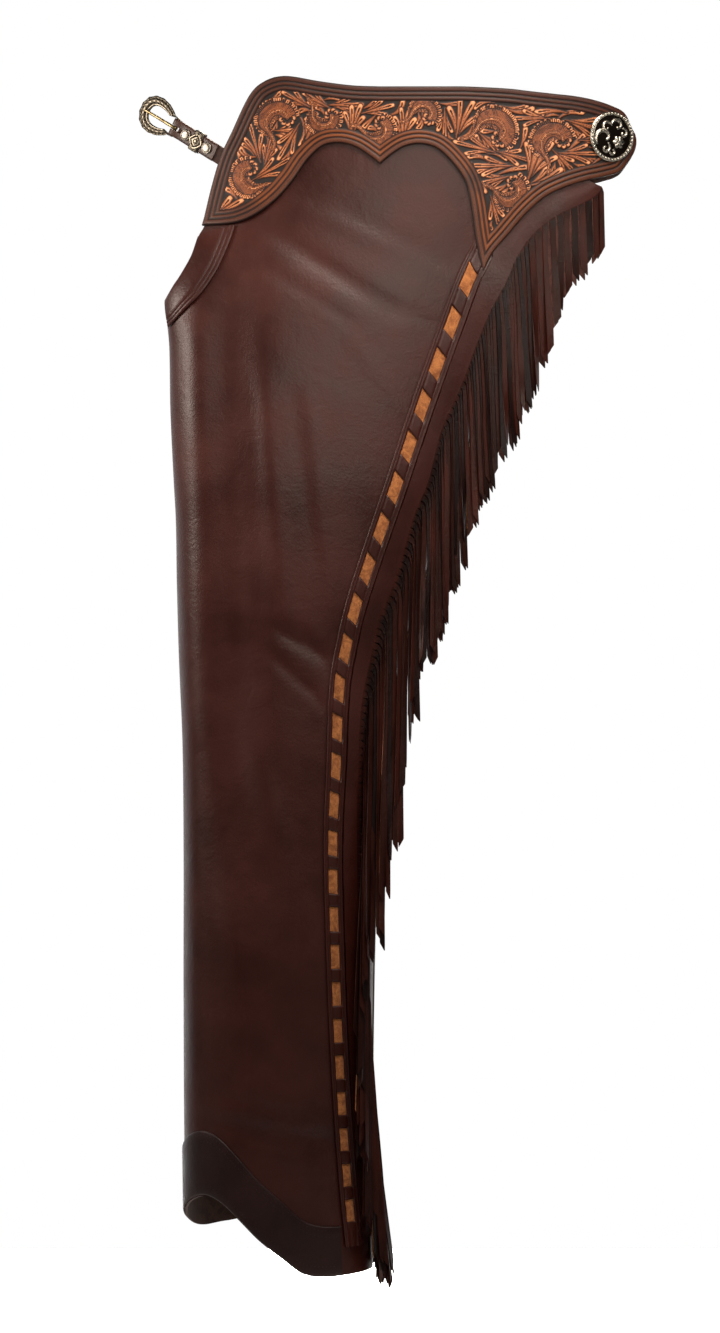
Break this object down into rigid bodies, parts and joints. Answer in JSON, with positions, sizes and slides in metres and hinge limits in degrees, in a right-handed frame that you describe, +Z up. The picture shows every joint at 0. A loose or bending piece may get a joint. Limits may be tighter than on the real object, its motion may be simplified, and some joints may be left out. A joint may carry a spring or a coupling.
{
  "type": "pair of leather show chaps",
  "caption": "Long flared-hem leather leggings joined at the waist, with tooled heart-edged yokes, laced side bands and long side fringe.",
  "frame": {"origin": "centre of the waist loop, level with the top of the thigh curve of the yokes, where the wearer's hips hold it", "axes": "+Z up, -X to the wearer's front (buckle), -Y to the wearer's left side"},
  "size_m": [0.4475, 0.3122, 1.0898],
  "materials": {
    "oxblood_chap_leather": "smooth, semi-gloss",
    "tooled_skirting_leather": "tooled, antiqued",
    "strap_leather": "smooth",
    "rust_suede": "suede",
    "engraved_silver_plate": "engraved, polished",
    "brass_prong": "polished",
    "zip_tape_and_chain": "woven",
    "antique_zip_metal": "antique"
  },
  "bodies": {
    "root": {"back_tie": "strap_leather", "billet_strap": "strap_leather", "buckle_strap": "strap_leather", "concho_left": "engraved_silver_plate", "concho_right": "engraved_silver_plate", "fringe_left": "oxblood_chap_leather", "fringe_right": "oxblood_chap_leather", "fringe_under_left": "rust_suede", "fringe_under_right": "rust_suede", "hem_band_left": "oxblood_chap_leather", "hem_band_right": "oxblood_chap_leather", "lace_band_left": "oxblood_chap_leather", "lace_band_right": "oxblood_chap_leather", "lace_left": "rust_suede", "lace_right": "rust_suede", "leg_panel_left": "oxblood_chap_leather", "leg_panel_right": "oxblood_chap_leather", "strap_keeper": "engraved_silver_plate", "strap_screw_1": "engraved_silver_plate", "strap_screw_2": "engraved_silver_plate", "thigh_edge_left": "oxblood_chap_leather", "thigh_edge_right": "oxblood_chap_leather", "yoke_left": "tooled_skirting_leather", "yoke_right": "tooled_skirting_leather", "zip_left": "zip_tape_and_chain", "zip_right": "zip_tape_and_chain", "zip_slider_left": "antique_zip_metal", "zip_slider_right": "antique_zip_metal"},
    "buckle": {"buckle": "engraved_silver_plate"},
    "prong": {"buckle_prong": "brass_prong"},
    "pull_left": {"zip_pull_left": "antique_zip_metal"},
    "pull_right": {"zip_pull_right": "antique_zip_metal"}
  },
  "joints": [
    {"name": "buckle_swing", "type": "hinge", "parent": "root", "child": "buckle", "pos_m": [-0.2215, -0.01723, 0.00504], "axis": [0.4084, -0.2559, 0.8762], "range_deg": [-50, 50]},
    {"name": "prong_swing", "type": "hinge", "parent": "buckle", "child": "prong", "pos_m": [-0.2215, -0.01723, 0.00504], "axis": [0.4084, -0.2559, 0.8762], "range_deg": [0, 80]},
    {"name": "left_tab_swing", "type": "hinge", "parent": "root", "child": "pull_left", "pos_m": [-0.03657, -0.075, -0.99586], "axis": [0, -1, 0], "range_deg": [0, 120]},
    {"name": "right_tab_swing", "type": "hinge", "parent": "root", "child": "pull_right", "pos_m": [-0.03657, 0.075, -0.99586], "axis": [0, -1, 0], "range_deg": [0, 120]}
  ]
}
